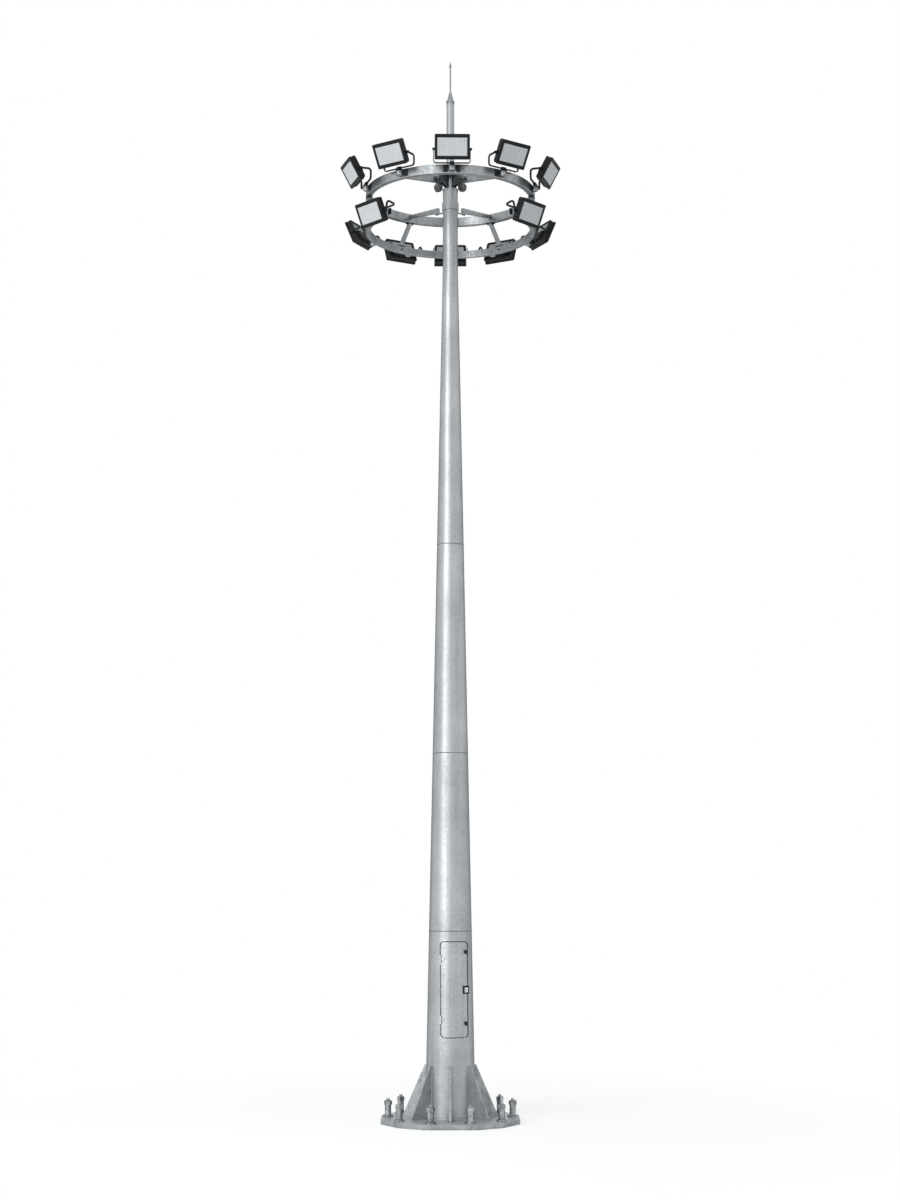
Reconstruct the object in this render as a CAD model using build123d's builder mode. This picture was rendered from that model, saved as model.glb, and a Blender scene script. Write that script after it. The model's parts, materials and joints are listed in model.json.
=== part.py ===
from build123d import *
from math import asin, cos, degrees, hypot, radians, sin, sqrt
import os

# High mast floodlight tower. Millimetres, +Z up, the origin on the ground under the mast's axis.
# An azimuth is in degrees from the front (-Y) towards the right (+X).

# Base
plate_across_corners = 1940
plate_thickness = 70
plate_corner_azimuths = (21.5, 46, 75)
cable_entry_radius = 150
bolt_count = 10
bolt_circle_radius = 845
first_bolt_azimuth = 18
stud_radius = 25
stud_hole_clearance = 2
washer_radius = 72
washer_thickness = 22
sleeve_radius = 43
sleeve_height = 140
nut_across_flats = 94
nut_height = 55
stud_projection = 30
stud_pilot_radius = 23
stud_chamfer = 3
thread_clearance = 0.2
gusset_count = 7
gusset_height = 690
gusset_foot_radius = 655
gusset_thickness = 28
gusset_nose = 28
gusset_toe = 24

# Mast
mast_base_radius = 344
mast_top_radius = 107
mast_top_height = 13066
mast_straight_length = 1088
mast_wall = 8
joint_heights = (2559, 4985, 7907)
cap_thickness = 12
cap_lip = 3

# Access door
door_azimuth = 11.8
door_bottom = 1142
door_height = 1279
door_half_width = 184
door_corner = 42
door_gap = 5
frame_width = 14
frame_proud = 3
frame_depth = 6
hinge_heights = (1380, 2183)
hinge_radius = 8
hinge_pin_radius = 4
hinge_knuckle = 34
hinge_knuckle_gap = 1
hinge_standoff = 2
hinge_leaf = 4
hinge_leaf_length = 46
pin_clearance = 0.05
lock_height = 1776
lock_width = 58
lock_tall = 66
lock_proud = 24
lock_corner = 6
lock_inset = 33
latch_heights = (1330, 2282)
latch_radius = 15
latch_proud = 12
latch_inset = 30

# Head at the top of the mast
hub_radius = 88
hub_height = 170
head_plate_radius = 215
head_plate_thickness = 20
head_plate_chamfer = 5
cheek_thickness = 12
cheek_reach = 450
cheek_root_rise = 14
cheek_step_rise = 30
cheek_tail_low = 14
cheek_tail_high = 84
pulley_radius = 64
pulley_width = 26
pulley_bore = 10
pulley_mast_gap = 8
pulley_drop = 136
pulley_side_gap = 5
pulley_cheek = 8
pulley_cheek_round = 35
pulley_groove = 14

# Rings and what carries them
ring_radius = 1213
upper_ring_drop = 94
upper_ring_depth = 128
upper_ring_width = 80
ring_spacing = 500
lower_ring_depth = 100
lower_ring_width = 66
lower_ring_end = 48
ring_corner = 8
splice_half_angle = 6
splice_thickness = 10
splice_margin = 14
arm_thickness = 40
front_arm_azimuth = 33
front_arm_start = 300
front_arm_root = 108
front_arm_end = 66
front_arm_fall = 0.209
front_arm_rise = 10
rear_arm_azimuth = 149
rear_arm_root = 86
rear_arm_end = 40
collar_drop = 301
collar_depth = 112
collar_thickness = 12
rear_arm_start = 330
tongue_thickness = 14
tongue_lap = 90
strut_size = 56
strut_spots = ((149.6, 141.5), (80, 80))

# Spire
spire_flange_radius = 92
spire_flange_thickness = 16
spire_radius = 55
spire_length = 1095
cone_flange_radius = 59
cone_flange_thickness = 12
cone_length = 167
cone_top_radius = 18
rod_radius = 12
rod_length = 389
tip_radius = 20
tip_length = 81
tip_point_radius = 2

# Floodlights
lamp_width = 482
lamp_height = 344
bezel_depth = 25
lamp_front = 75
lamp_back = 23
lamp_rise = 30
bezel_corner = 14
body_margin = 12
bezel_side = 28
bezel_rail = 41
lens_thickness = 5
lens_recess = 3
lens_clearance = 0.5
back_rim = 20
back_pocket = 22
driver_top = -14
driver_bottom = -148
driver_top_width = 384
driver_bottom_width = 270
driver_depth = 34
driver_draft = 12
boss_radius = 22
yoke_gap = 5
boss_gap = 1
yoke_thickness = 12
yoke_strap = 28
swing_clearance = 25
yoke_corner = 34
yoke_turn = 47
yoke_elbow = 40
trunnion_radius = 8
knob_radius = 19
knob_thickness = 10
knob_gap = 0.5
knuckle_radius = 26
knuckle_length = 60
neck_radius = 20
neck_height = 32
cup_radius = 46
cup_depth = 72
cup_round = 24
cup_offset = 41
crossbar_rise = 0
# name, azimuth, tilt below the horizontal, lean of the yoke
upper_lamps = (
    ("lamp_front", 1, 20, 0),
    ("lamp_front_right", 36, 29, 0),
    ("lamp_right", 73.5, 29, 0),
    ("lamp_front_left", -34.5, 29, 0),
    ("lamp_left", -72.5, 29, 0),
)
lower_lamps = (
    ("low_lamp_front_right", 48, 24, 78),
    ("low_lamp_right", 116, 24, 22),
    ("low_lamp_rear_right", 150, 22, 36),
    ("low_lamp_rear", 180, 22, 36),
    ("low_lamp_rear_left", -150, 22, 36),
    ("low_lamp_left", -116, 24, 22),
    ("low_lamp_front_left", -48, 24, 78),
)

# Worked out from the sizes above
plate_top = plate_thickness
taper_end_height = mast_top_height - mast_straight_length
upper_ring_height = mast_top_height - upper_ring_drop
lower_ring_height = upper_ring_height - ring_spacing
collar_height = mast_top_height - collar_drop
upper_ring_top = upper_ring_height + upper_ring_depth / 2
upper_ring_foot = upper_ring_height - upper_ring_depth / 2
lower_ring_top = lower_ring_height + lower_ring_depth / 2
upper_ring_inner = ring_radius - upper_ring_width
lower_ring_inner = ring_radius - lower_ring_width
door_middle = door_bottom + door_height / 2
door_top = door_bottom + door_height
head_base = mast_top_height + cap_thickness
head_plate_base = head_base + hub_height
spire_base = head_plate_base + head_plate_thickness
spire_top = spire_base + spire_length
cone_top = spire_top + cone_length
rod_top = cone_top + rod_length
tower_height = rod_top + tip_length
pulley_chord = sqrt(pulley_radius ** 2 - (hub_height - pulley_drop) ** 2)
pulley_offset = mast_top_radius + cap_lip + pulley_mast_gap + pulley_chord
knuckle_circle = ring_radius + cup_offset
body_half_width = lamp_width / 2 - body_margin
yoke_inner = lamp_width / 2 + yoke_gap
yoke_middle = yoke_inner + yoke_thickness / 2
yoke_outer = yoke_inner + yoke_thickness
swing_radius = hypot(lamp_front, lamp_height / 2 - lamp_rise)
yoke_length = swing_radius + knuckle_radius + swing_clearance
yoke_reach = yoke_length * sin(radians(yoke_turn))
yoke_rise = yoke_length * cos(radians(yoke_turn))
taper = (mast_base_radius - mast_top_radius) / taper_end_height
cut_reach = 2 * mast_base_radius


def mast_radius(height):
    return max(mast_base_radius - taper * height, mast_top_radius)


def at(azimuth, radius=0, height=0, lean=0):
    """A place on the tower: its own -Y looks outwards, and lean turns its top outwards."""
    return Location((0, 0, 0), (0, 0, azimuth)) * Location((0, -radius, height), (lean, 0, 0))


def outward_plane(azimuth, height):
    """A plane through the mast's axis that looks outwards at the azimuth, with its Y up."""
    a = radians(azimuth)
    return Plane(origin=(0, 0, height), x_dir=(cos(a), sin(a), 0), z_dir=(sin(a), -cos(a), 0))


def revolved(points, arc=360, start=0):
    """A profile of radius and height turned about the mast's axis, from the azimuth start."""
    with BuildPart() as turned:
        with BuildSketch(Plane.XZ):
            with BuildLine():
                Polyline(*points, close=True)
            make_face()
        revolve(axis=Axis.Z, revolution_arc=arc)
    with BuildPart() as placed:
        with Locations(Location((0, 0, 0), (0, 0, start - 90))):
            add(turned.part)
    return placed.part


def mast_band(bottom, top, inner, outer):
    """A tapered band that follows the mast's outside, from inner to outer beyond its surface."""
    return revolved((
        (mast_radius(bottom) + inner, bottom),
        (mast_radius(bottom) + outer, bottom),
        (mast_radius(top) + outer, top),
        (mast_radius(top) + inner, top),
    ))


def mast_shell(bottom, top):
    """One section of the mast's tube."""
    heights = [bottom, top]
    if bottom < taper_end_height < top:
        heights.insert(1, taper_end_height)
    outside = [(mast_radius(h), h) for h in heights]
    inside = [(mast_radius(h) - mast_wall, h) for h in reversed(heights)]
    return revolved(outside + inside)


def door_prism(grow):
    """The door's outline, grown all round, carried out through the wall."""
    with BuildPart() as prism:
        with BuildSketch(outward_plane(door_azimuth, door_middle)):
            RectangleRounded(
                2 * (door_half_width + grow), door_height + 2 * grow, door_corner + grow)
        extrude(amount=cut_reach)
    return prism.part


def ring_band(outer, width, depth, height, start, arc):
    """Part of a ring of rectangular section with eased edges."""
    with BuildPart() as band:
        with BuildSketch(Plane.XZ):
            with Locations((outer - width / 2, height)):
                RectangleRounded(width, depth, ring_corner)
        revolve(axis=Axis.Z, revolution_arc=arc)
    with BuildPart() as placed:
        with Locations(Location((0, 0, 0), (0, 0, start - 90))):
            add(band.part)
    return placed.part


def cylinder_to(radius, bottom, top):
    """A solid round bar on the mast's axis between two heights."""
    with BuildPart() as bar:
        with BuildSketch(Plane.XY.offset(bottom)):
            Circle(radius)
        extrude(amount=top - bottom)
    return bar.part


def save(part, name):
    part.label = name
    export_step(part, f"parts/{name}.step")


os.makedirs("parts", exist_ok=True)

# Base plate: twelve corners, a cable entry in the middle and a hole for each anchor stud
quarter = [radians(a) for a in plate_corner_azimuths]
half_turn = quarter + [radians(180) - a for a in reversed(quarter)]
corner_turns = half_turn + [-a for a in reversed(half_turn)]
plate_radius = plate_across_corners / 2
with BuildPart() as base_plate:
    with BuildSketch():
        with BuildLine():
            Polyline(*[(plate_radius * sin(a), -plate_radius * cos(a)) for a in corner_turns], close=True)
        make_face()
        Circle(cable_entry_radius, mode=Mode.SUBTRACT)
        with PolarLocations(bolt_circle_radius, bolt_count, start_angle=first_bolt_azimuth - 90):
            Circle(stud_radius + stud_hole_clearance, mode=Mode.SUBTRACT)
    extrude(amount=plate_thickness)
save(base_plate.part, "base_plate")

# Gussets between the plate and the mast
with BuildPart() as gusset:
    with BuildSketch(Plane.XZ):
        with BuildLine():
            gusset_top = plate_top + gusset_height
            Polyline(
                (mast_radius(plate_top), plate_top),
                (gusset_foot_radius, plate_top),
                (gusset_foot_radius, plate_top + gusset_toe),
                (mast_radius(gusset_top) + gusset_nose, gusset_top),
                (mast_radius(gusset_top), gusset_top),
                close=True)
        make_face()
    extrude(amount=gusset_thickness / 2, both=True)
with BuildPart() as gussets:
    with PolarLocations(0, gusset_count, start_angle=-90):
        add(gusset.part)
save(gussets.part, "gussets")

# Anchor bolts: stud with a turned-down pilot end, washer, distance sleeve and heavy nut
washer_top = plate_top + washer_thickness
sleeve_top = washer_top + sleeve_height
nut_top = sleeve_top + nut_height
with BuildPart() as anchor_studs:
    with BuildSketch():
        with PolarLocations(bolt_circle_radius, bolt_count, start_angle=first_bolt_azimuth - 90):
            Circle(stud_radius)
    extrude(amount=nut_top)
    with BuildSketch(Plane.XY.offset(nut_top)):
        with PolarLocations(bolt_circle_radius, bolt_count, start_angle=first_bolt_azimuth - 90):
            Circle(stud_pilot_radius)
    extrude(amount=stud_projection)
    chamfer(anchor_studs.faces().group_by(Axis.Z)[-1].edges(), length=stud_chamfer)
save(anchor_studs.part, "anchor_studs")
with BuildPart() as anchor_washers:
    with BuildSketch(Plane.XY.offset(plate_top)):
        with PolarLocations(bolt_circle_radius, bolt_count, start_angle=first_bolt_azimuth - 90):
            Circle(washer_radius)
            Circle(stud_radius + thread_clearance, mode=Mode.SUBTRACT)
    extrude(amount=washer_thickness)
save(anchor_washers.part, "anchor_washers")
with BuildPart() as anchor_sleeves:
    with BuildSketch(Plane.XY.offset(washer_top)):
        with PolarLocations(bolt_circle_radius, bolt_count, start_angle=first_bolt_azimuth - 90):
            Circle(sleeve_radius)
            Circle(stud_radius + thread_clearance, mode=Mode.SUBTRACT)
    extrude(amount=sleeve_height)
save(anchor_sleeves.part, "anchor_sleeves")
with BuildPart() as anchor_nuts:
    with BuildSketch(Plane.XY.offset(sleeve_top)):
        with PolarLocations(bolt_circle_radius, bolt_count, start_angle=first_bolt_azimuth - 90):
            RegularPolygon(nut_across_flats / 2, 6, major_radius=False)
            Circle(stud_radius + thread_clearance, mode=Mode.SUBTRACT)
    extrude(amount=nut_height)
save(anchor_nuts.part, "anchor_nuts")

# Mast: four tapered tubes butted end to end, the lowest cut for the door's frame
with BuildPart() as mast_base_section:
    add(mast_shell(plate_top, joint_heights[0]))
    add(door_prism(frame_width), mode=Mode.SUBTRACT)
save(mast_base_section.part, "mast_base_section")
save(mast_shell(joint_heights[0], joint_heights[1]), "mast_lower_section")
save(mast_shell(joint_heights[1], joint_heights[2]), "mast_middle_section")
save(mast_shell(joint_heights[2], mast_top_height), "mast_top_section")

# Hinge line: beside the mast's surface, over the gap at the door's left edge
gap_line = door_half_width - door_gap / 2


def hinge_azimuth(height):
    return door_azimuth - degrees(asin(gap_line / mast_radius(height)))


def hinge_point(height):
    radius = mast_radius(height) + frame_proud + hinge_standoff + hinge_radius
    a = radians(hinge_azimuth(height))
    return Vector(radius * sin(a), -radius * cos(a), height)


hinge_low = hinge_point(hinge_heights[0])
hinge_high = hinge_point(hinge_heights[1])
hinge_axis = (hinge_high - hinge_low).normalized()
print("door hinge at", tuple(round(v, 3) for v in tuple(hinge_low)))
print("door hinge axis", tuple(round(v, 6) for v in tuple(hinge_axis)))


def hinge_barrel(height, order, radius, bore, count=1):
    """A round length on the hinge line: order -1, 0 and 1 are the lower, middle and upper knuckle."""
    step = hinge_knuckle + hinge_knuckle_gap
    middle = hinge_low + hinge_axis * (height - hinge_heights[0] + order * step)
    length = hinge_knuckle * count + hinge_knuckle_gap * (count - 1)
    with BuildPart() as barrel:
        with BuildSketch(Plane(origin=middle - hinge_axis * length / 2, z_dir=hinge_axis)):
            Circle(radius)
            if bore:
                Circle(bore, mode=Mode.SUBTRACT)
        extrude(amount=length)
    return barrel.part


def hinge_tab(height, order, inner, side):
    """A strap that carries a knuckle: on the frame to the left (side -1) or on the door."""
    middle = height + order * (hinge_knuckle + hinge_knuckle_gap)
    reach = frame_width + door_gap / 2 if side < 0 else hinge_leaf_length
    with BuildPart() as tab:
        add(mast_band(middle - hinge_knuckle / 2, middle + hinge_knuckle / 2,
                      inner, frame_proud + hinge_standoff + hinge_leaf))
        with BuildSketch(outward_plane(hinge_azimuth(height), middle)):
            with Locations((side * reach / 2, 0)):
                Rectangle(reach, hinge_knuckle)
        extrude(amount=cut_reach, mode=Mode.INTERSECT)
    return tab.part


# Door frame: the rim welded into the opening, with the fixed knuckles of both hinges
with BuildPart() as door_frame:
    add(mast_band(door_bottom - 2 * frame_width, door_top + 2 * frame_width,
                  -mast_wall - frame_depth, frame_proud))
    add(door_prism(frame_width), mode=Mode.INTERSECT)
    add(door_prism(0), mode=Mode.SUBTRACT)
    for h in hinge_heights:
        for knuckle in (-1, 1):
            add(hinge_tab(h, knuckle, frame_proud, -1))
            add(hinge_barrel(h, knuckle, hinge_radius, 0))
        add(hinge_barrel(h, 0, hinge_pin_radius + pin_clearance, 0, count=3), mode=Mode.SUBTRACT)
save(door_frame.part, "door_frame")
with BuildPart() as hinge_pins:
    for h in hinge_heights:
        add(hinge_barrel(h, 0, hinge_pin_radius, 0, count=3))
save(hinge_pins.part, "hinge_pins")

# Access door: a piece of the mast's own wall, with the moving knuckles
with BuildPart() as access_door:
    add(mast_band(door_bottom - frame_width, door_top + frame_width, -mast_wall, 0))
    add(door_prism(-door_gap), mode=Mode.INTERSECT)
    for h in hinge_heights:
        add(hinge_tab(h, 0, 0, 1))
        add(hinge_barrel(h, 0, hinge_radius, 0))
        add(hinge_barrel(h, 0, hinge_pin_radius + pin_clearance, 0, count=3), mode=Mode.SUBTRACT)
save(access_door.part, "access_door")


def on_door(height, inset):
    """The azimuth of a spot on the door at this distance from its right edge."""
    edge = door_half_width - door_gap
    angle = degrees(asin(edge / mast_radius(height))) - degrees(inset / mast_radius(height))
    return door_azimuth + angle


with BuildPart() as door_lock:
    add(mast_band(lock_height - lock_tall, lock_height + lock_tall, 0, lock_proud))
    with BuildSketch(outward_plane(on_door(lock_height, lock_inset), lock_height)):
        RectangleRounded(lock_width, lock_tall, lock_corner)
    extrude(amount=cut_reach, mode=Mode.INTERSECT)
save(door_lock.part, "door_lock")
latch_parts = []
for h in latch_heights:
    with BuildPart() as latch:
        add(mast_band(h - 2 * latch_radius, h + 2 * latch_radius, 0, latch_proud))
        with BuildSketch(outward_plane(on_door(h, latch_inset), h)):
            Circle(latch_radius)
        extrude(amount=cut_reach, mode=Mode.INTERSECT)
    latch_parts.append(latch.part)
with BuildPart() as door_latches:
    for latch_part in latch_parts:
        add(latch_part)
save(door_latches.part, "door_latches")

# Head: the hub on its cap over the mast, the plate, and the cheeks that take the front arms
with BuildPart() as head_hub:
    add(cylinder_to(mast_top_radius + cap_lip, mast_top_height, head_base))
    add(cylinder_to(hub_radius, head_base, head_plate_base))
save(head_hub.part, "head_hub")
with BuildPart() as head_plate:
    with BuildSketch(Plane.XY.offset(head_plate_base)):
        Circle(head_plate_radius)
    extrude(amount=head_plate_thickness)
    chamfer(head_plate.edges().group_by(Axis.Z)[-1], length=head_plate_chamfer)
save(head_plate.part, "head_plate")


def front_arm_line(radius):
    """Height of the front arms' lower edge at a radius."""
    return upper_ring_foot + front_arm_rise + (upper_ring_inner - radius) * front_arm_fall


with BuildPart() as cheek_pair:
    with BuildSketch(Plane.YZ):
        with BuildLine():
            Polyline(
                (-hub_radius, head_base + cheek_root_rise),
                (-hub_radius, head_plate_base),
                (-head_plate_radius, head_plate_base),
                (-cheek_reach, front_arm_line(cheek_reach) + cheek_tail_high),
                (-cheek_reach, front_arm_line(cheek_reach) + cheek_tail_low),
                (-head_plate_radius, head_base + cheek_step_rise),
                close=True)
        make_face()
    extrude(amount=arm_thickness / 2 + cheek_thickness, both=True)
    with BuildSketch(Plane.YZ):
        with Locations((-cheek_reach / 2, head_plate_base)):
            Rectangle(2 * cheek_reach, 4 * hub_height)
    extrude(amount=arm_thickness / 2, both=True, mode=Mode.SUBTRACT)
    add(cylinder_to(hub_radius, 0, tower_height), mode=Mode.SUBTRACT)
with BuildPart() as arm_cheeks:
    with Locations(at(front_arm_azimuth), at(-front_arm_azimuth)):
        add(cheek_pair.part)
save(arm_cheeks.part, "arm_cheeks")

# Front arms: deep at the head, falling and tapering to the upper ring
inside_upper_ring = cylinder_to(upper_ring_inner, 0, tower_height)
with BuildPart() as front_arm:
    with BuildSketch(Plane.YZ):
        with BuildLine():
            Polyline(
                (-front_arm_start, front_arm_line(front_arm_start)),
                (-front_arm_start, front_arm_line(front_arm_start) + front_arm_root),
                (-ring_radius, front_arm_line(ring_radius) + front_arm_end),
                (-ring_radius, front_arm_line(ring_radius)),
                close=True)
        make_face()
    extrude(amount=arm_thickness / 2, both=True)
    add(inside_upper_ring, mode=Mode.INTERSECT)
with BuildPart() as front_arms:
    with Locations(at(front_arm_azimuth), at(-front_arm_azimuth)):
        add(front_arm.part)
save(front_arms.part, "front_arms")

# Rear arms, rising to the ring from tongues that the collar carries under their feet
rear_arm_foot = collar_height + (collar_depth - rear_arm_root) / 2
rear_arm_head = upper_ring_top - ring_corner


def rear_arm_edge(radius, foot, head):
    """Height at a radius of the line from the foot at the mast to the head at the ring."""
    share = (radius - mast_top_radius) / (ring_radius - mast_top_radius)
    return foot + share * (head - foot)


def rear_arm_underside(radius):
    return rear_arm_edge(radius, rear_arm_foot, rear_arm_head - rear_arm_end)


with BuildPart() as rear_arm:
    with BuildSketch(Plane.YZ):
        with BuildLine():
            Polyline(
                (-rear_arm_start, rear_arm_underside(rear_arm_start)),
                (-rear_arm_start, rear_arm_edge(
                    rear_arm_start, rear_arm_foot + rear_arm_root, rear_arm_head)),
                (-ring_radius, rear_arm_head),
                (-ring_radius, rear_arm_underside(ring_radius)),
                close=True)
        make_face()
    extrude(amount=arm_thickness / 2, both=True)
    add(inside_upper_ring, mode=Mode.INTERSECT)
with BuildPart() as rear_arms:
    with Locations(at(rear_arm_azimuth), at(-rear_arm_azimuth)):
        add(rear_arm.part)
save(rear_arms.part, "rear_arms")
tongue_end = rear_arm_start + tongue_lap
with BuildPart() as tongue:
    with BuildSketch(Plane.YZ):
        with BuildLine():
            Polyline(
                (-mast_top_radius, rear_arm_underside(mast_top_radius)),
                (-tongue_end, rear_arm_underside(tongue_end)),
                (-tongue_end, rear_arm_underside(tongue_end) - tongue_thickness),
                (-mast_top_radius, rear_arm_underside(mast_top_radius) - tongue_thickness),
                close=True)
        make_face()
    extrude(amount=arm_thickness / 2, both=True)
with BuildPart() as arm_collar:
    with BuildSketch(Plane.XY.offset(collar_height)):
        Circle(mast_top_radius + collar_thickness)
    extrude(amount=collar_depth)
    with Locations(at(rear_arm_azimuth), at(-rear_arm_azimuth)):
        add(tongue.part)
    add(cylinder_to(mast_top_radius, 0, tower_height), mode=Mode.SUBTRACT)
save(arm_collar.part, "arm_collar")

# Pulleys under the head plate, each between two cheeks on an axle
pulley_height = head_plate_base - pulley_drop
cheek_inner = pulley_width / 2 + pulley_side_gap
cheek_outer = cheek_inner + pulley_cheek
with BuildPart() as pulley_cheeks:
    for side in (-1, 1):
        with BuildSketch(Plane.XZ.offset(cheek_inner)):
            with Locations((side * pulley_offset, pulley_height)):
                Circle(pulley_cheek_round)
            with Locations((side * pulley_offset, (pulley_height + head_plate_base) / 2)):
                Rectangle(2 * pulley_cheek_round, pulley_drop)
        extrude(amount=pulley_cheek)
    mirror(about=Plane.XZ)
    with BuildSketch(Plane.XZ.offset(-cheek_outer)):
        with Locations((-pulley_offset, pulley_height), (pulley_offset, pulley_height)):
            Circle(pulley_bore)
    extrude(amount=2 * cheek_outer)
    add(cylinder_to(head_plate_radius * 2, head_plate_base, spire_base), mode=Mode.SUBTRACT)
save(pulley_cheeks.part, "pulley_brackets")
for side, name in ((-1, "pulley_left"), (1, "pulley_right")):
    with BuildPart() as pulley:
        with BuildSketch(Plane.XY):
            with BuildLine():
                Polyline(
                    (pulley_bore + pin_clearance, -pulley_width / 2),
                    (pulley_radius, -pulley_width / 2),
                    (pulley_radius - pulley_groove, 0),
                    (pulley_radius, pulley_width / 2),
                    (pulley_bore + pin_clearance, pulley_width / 2),
                    close=True)
            make_face()
        revolve(axis=Axis.Y)
    with BuildPart() as placed_pulley:
        with Locations(Location((side * pulley_offset, 0, pulley_height))):
            add(pulley.part)
    save(placed_pulley.part, name)

# Rings: the upper in two halves, the lower a C in two parts, joined by splice plates
for name, start in (("upper_ring_right", 0), ("upper_ring_left", 180)):
    save(ring_band(ring_radius, upper_ring_width, upper_ring_depth, upper_ring_height,
                   start, 180), name)
for name, start in (("lower_ring_right", lower_ring_end), ("lower_ring_left", 180)):
    save(ring_band(ring_radius, lower_ring_width, lower_ring_depth, lower_ring_height,
                   start, 180 - lower_ring_end), name)
with BuildPart() as ring_splices:
    for inner, depth, height, middle in (
        (upper_ring_inner, upper_ring_depth, upper_ring_height, 0),
        (upper_ring_inner, upper_ring_depth, upper_ring_height, 180),
        (lower_ring_inner, lower_ring_depth, lower_ring_height, 180),
    ):
        low = height - depth / 2 + splice_margin
        high = height + depth / 2 - splice_margin
        add(revolved(
            ((inner - splice_thickness, low), (inner, low), (inner, high),
             (inner - splice_thickness, high)),
            arc=2 * splice_half_angle, start=middle - splice_half_angle))
save(ring_splices.part, "ring_splices")

# Drop struts from the upper ring to the lower one
with BuildPart() as drop_struts:
    for head_azimuth, foot_azimuth in strut_spots:
        for side in (-1, 1):
            strut_circle = ring_radius - lower_ring_width / 2
            with BuildSketch(Plane(at(side * head_azimuth, strut_circle, upper_ring_foot))):
                Rectangle(strut_size, strut_size)
            with BuildSketch(Plane(at(side * foot_azimuth, strut_circle, lower_ring_top))):
                Rectangle(strut_size, strut_size)
            loft()
save(drop_struts.part, "drop_struts")

# Spire: pipe on a flange, cone, and the lightning rod
with BuildPart() as spire_pipe:
    add(cylinder_to(spire_flange_radius, spire_base, spire_base + spire_flange_thickness))
    add(cylinder_to(spire_radius, spire_base, spire_top))
save(spire_pipe.part, "spire_pipe")
save(revolved((
    (0, spire_top),
    (cone_flange_radius, spire_top),
    (cone_flange_radius, spire_top + cone_flange_thickness),
    (spire_radius, spire_top + cone_flange_thickness),
    (cone_top_radius, cone_top),
    (0, cone_top),
)), "spire_cone")
save(revolved((
    (0, cone_top),
    (rod_radius, cone_top),
    (rod_radius, rod_top),
    (tip_radius, rod_top),
    (tip_point_radius, tower_height),
    (0, tower_height),
)), "lightning_rod")

# Floodlight, built about its trunnion with the lens towards -Y
lens_width = lamp_width - 2 * bezel_side
lens_height = lamp_height - 2 * bezel_rail
pocket_depth = lens_thickness + lens_recess
pocket_half_width = body_half_width - back_rim


def lamp_plane(depth):
    """A plane across the housing at this distance in front of the trunnion, on the housing's middle."""
    return Plane(origin=(0, -depth, lamp_rise), x_dir=(1, 0, 0), z_dir=(0, -1, 0))


with BuildPart() as housing:
    with BuildSketch(lamp_plane(lamp_front - bezel_depth)):
        RectangleRounded(lamp_width, lamp_height, bezel_corner)
    extrude(amount=bezel_depth)
    with BuildSketch(lamp_plane(-lamp_back)):
        RectangleRounded(2 * body_half_width, lamp_height - 2 * body_margin, bezel_corner)
    extrude(amount=lamp_back + lamp_front - bezel_depth)
    with BuildSketch(lamp_plane(lamp_front - pocket_depth)):
        Rectangle(lens_width, lens_height)
    extrude(amount=pocket_depth, mode=Mode.SUBTRACT)
    with BuildSketch(lamp_plane(-lamp_back)):
        Rectangle(2 * pocket_half_width, lamp_height - 2 * (body_margin + back_rim))
    extrude(amount=back_pocket, mode=Mode.SUBTRACT)
    for depth, inset in ((back_pocket - lamp_back, 0), (-lamp_back - driver_depth, driver_draft)):
        with BuildSketch(lamp_plane(depth)):
            Polygon(
                (-driver_top_width / 2 + inset, driver_top - inset),
                (-driver_bottom_width / 2 + inset, driver_bottom + inset),
                (driver_bottom_width / 2 - inset, driver_bottom + inset),
                (driver_top_width / 2 - inset, driver_top - inset),
                align=None)
    loft()
    knob_start = yoke_outer + knob_gap
    for radius, start, end in (
        (boss_radius, pocket_half_width, yoke_inner - boss_gap),
        (trunnion_radius, pocket_half_width, knob_start),
        (knob_radius, knob_start, knob_start + knob_thickness),
    ):
        for first in (-end, start):
            with BuildSketch(Plane.YZ.offset(first)):
                Circle(radius)
            extrude(amount=end - start)
with BuildPart() as lens:
    with BuildSketch(lamp_plane(lamp_front - pocket_depth)):
        Rectangle(lens_width - 2 * lens_clearance, lens_height - 2 * lens_clearance)
    extrude(amount=lens_thickness)

# Yoke: a crossbar at the origin, arms up from its ends, and an elbow outwards to the trunnions
with BuildPart() as yoke:
    with BuildSketch(Plane.XZ):
        with BuildLine():
            FilletPolyline(
                (-yoke_middle, yoke_rise - yoke_elbow),
                (-yoke_middle, 0),
                (yoke_middle, 0),
                (yoke_middle, yoke_rise - yoke_elbow),
                radius=yoke_corner)
        trace(line_width=yoke_thickness)
    extrude(amount=yoke_strap / 2, both=True)
    for inner in (-yoke_outer, yoke_inner):
        with BuildSketch(Plane.YZ.offset(inner)):
            with BuildLine():
                FilletPolyline(
                    (0, yoke_rise / 2),
                    (0, yoke_rise),
                    (-yoke_reach, yoke_rise),
                    radius=yoke_elbow)
            trace(line_width=yoke_strap)
            with Locations((-yoke_reach, yoke_rise)):
                Circle(yoke_strap / 2)
                Circle(trunnion_radius + pin_clearance, mode=Mode.SUBTRACT)
        extrude(amount=yoke_thickness)


def knuckle(lean):
    """The elbow that grips the crossbar, on its neck."""
    with BuildPart() as elbow:
        with BuildSketch(Plane.YZ.offset(-knuckle_length / 2)):
            Circle(knuckle_radius)
        extrude(amount=knuckle_length)
        with BuildSketch(Plane.XY.offset(-neck_height)):
            Circle(neck_radius)
        extrude(amount=neck_height)
        with Locations(Location((0, 0, 0), (lean, 0, 0))):
            add(yoke.part, mode=Mode.SUBTRACT)
    return elbow.part


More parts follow.
